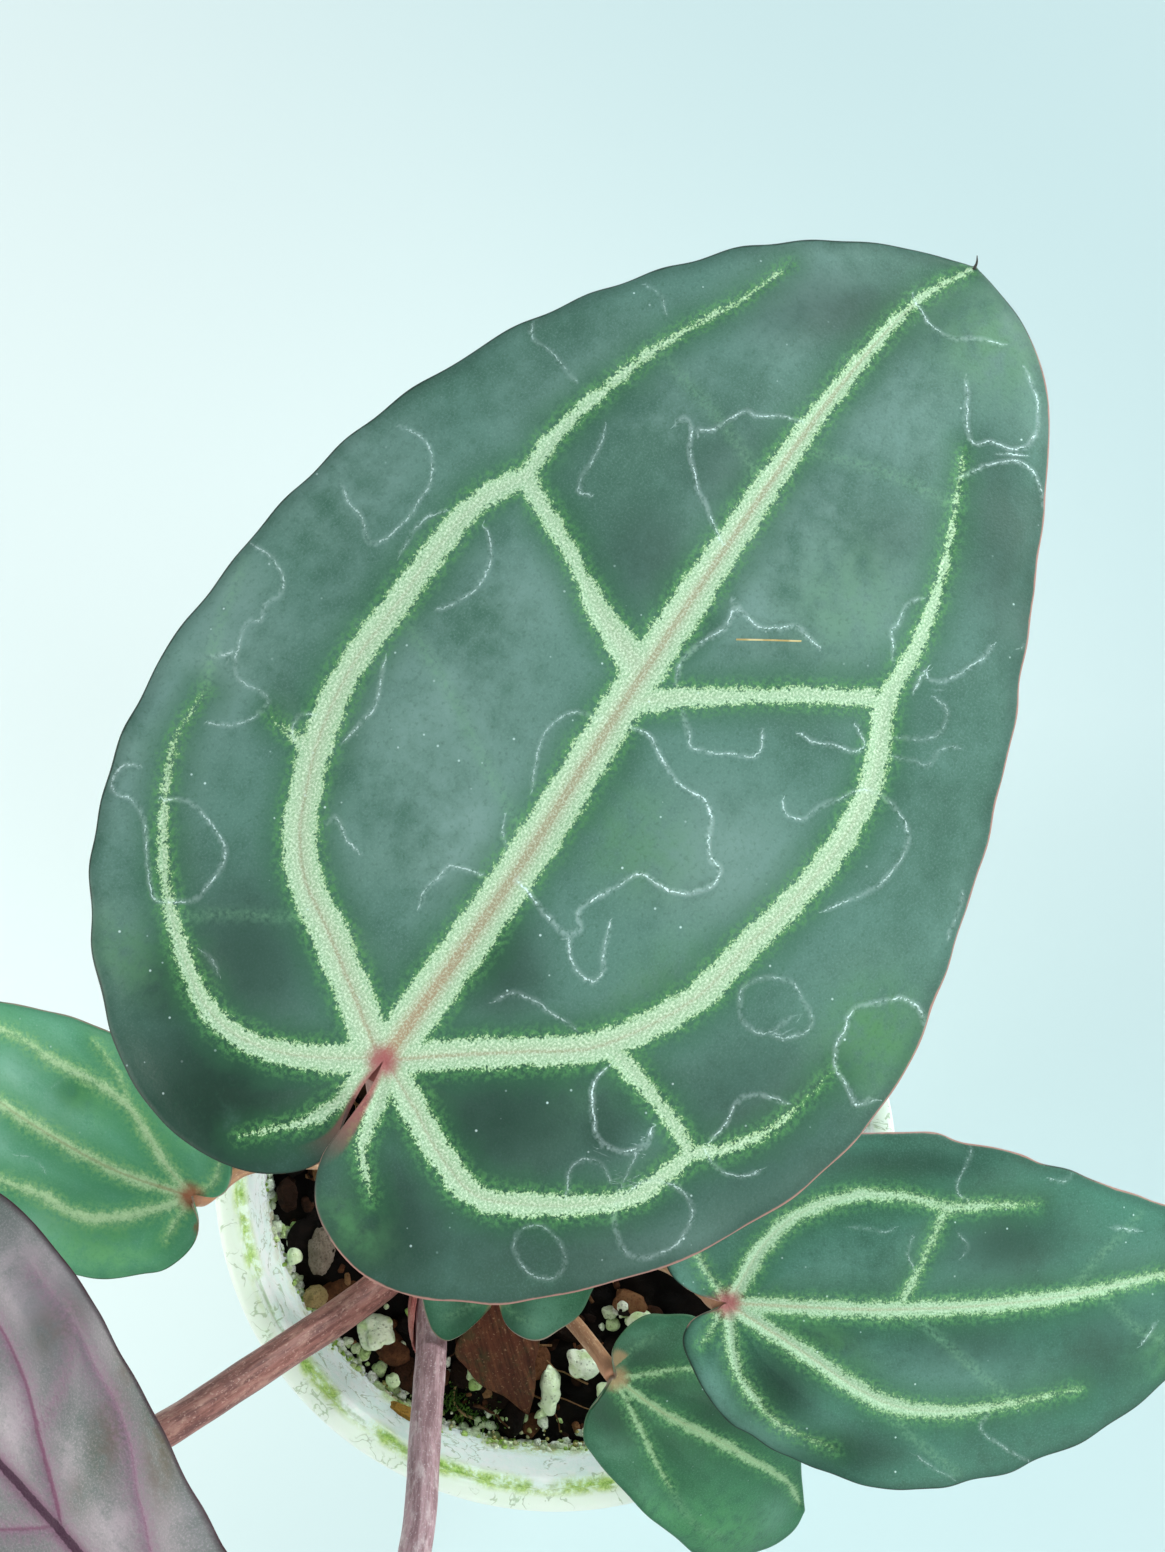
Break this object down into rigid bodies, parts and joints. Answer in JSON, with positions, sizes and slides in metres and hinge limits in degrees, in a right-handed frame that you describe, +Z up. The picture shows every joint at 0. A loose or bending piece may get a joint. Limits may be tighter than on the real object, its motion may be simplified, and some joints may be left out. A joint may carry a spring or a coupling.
{
  "type": "potted anthurium",
  "caption": "Velvet-leaved anthurium with heart-shaped, pale-veined leaves on upright stalks, standing in potting mix in a tapered plastic pot.",
  "frame": {"origin": "middle of the pot's flat underside", "axes": "+Z up out of the pot's mouth; +Y towards the side over which the largest leaf reaches; +X to the right when +Y points away"},
  "size_m": [0.2769, 0.2481, 0.2606],
  "materials": {
    "pot": "satin",
    "mix": "matte",
    "crown": "matte",
    "blade": "satin",
    "young_blade": "satin",
    "stalk": "satin",
    "red_stalk": "satin",
    "young_stalk": "satin",
    "bark": "matte",
    "perlite": "matte",
    "dry_sheath": "matte",
    "young_sheath": "satin"
  },
  "bodies": {
    "root": {"pot": "pot", "potting_mix": "mix", "crown": "crown", "blade_a": "blade", "blade_b": "blade", "blade_c": "blade", "blade_d": "blade", "blade_e": "blade", "blade_f": "young_blade", "blade_g": "blade", "stalk_a": "red_stalk", "stalk_b": "stalk", "stalk_c": "stalk", "stalk_d": "stalk", "stalk_e": "red_stalk", "stalk_f": "young_stalk", "stalk_g": "red_stalk", "sheath_young": "young_sheath", "sheath_dry": "dry_sheath", "bark_1": "bark", "bark_2": "bark", "bark_3": "bark", "bark_4": "bark", "bark_5": "bark", "bark_6": "bark", "bark_7": "bark", "bark_8": "bark", "bark_9": "bark", "bark_10": "bark", "bark_11": "bark", "bark_12": "bark", "perlite_1": "perlite", "perlite_2": "perlite", "perlite_3": "perlite", "perlite_4": "perlite", "perlite_5": "perlite", "perlite_6": "perlite", "perlite_7": "perlite"}
  },
  "joints": []
}
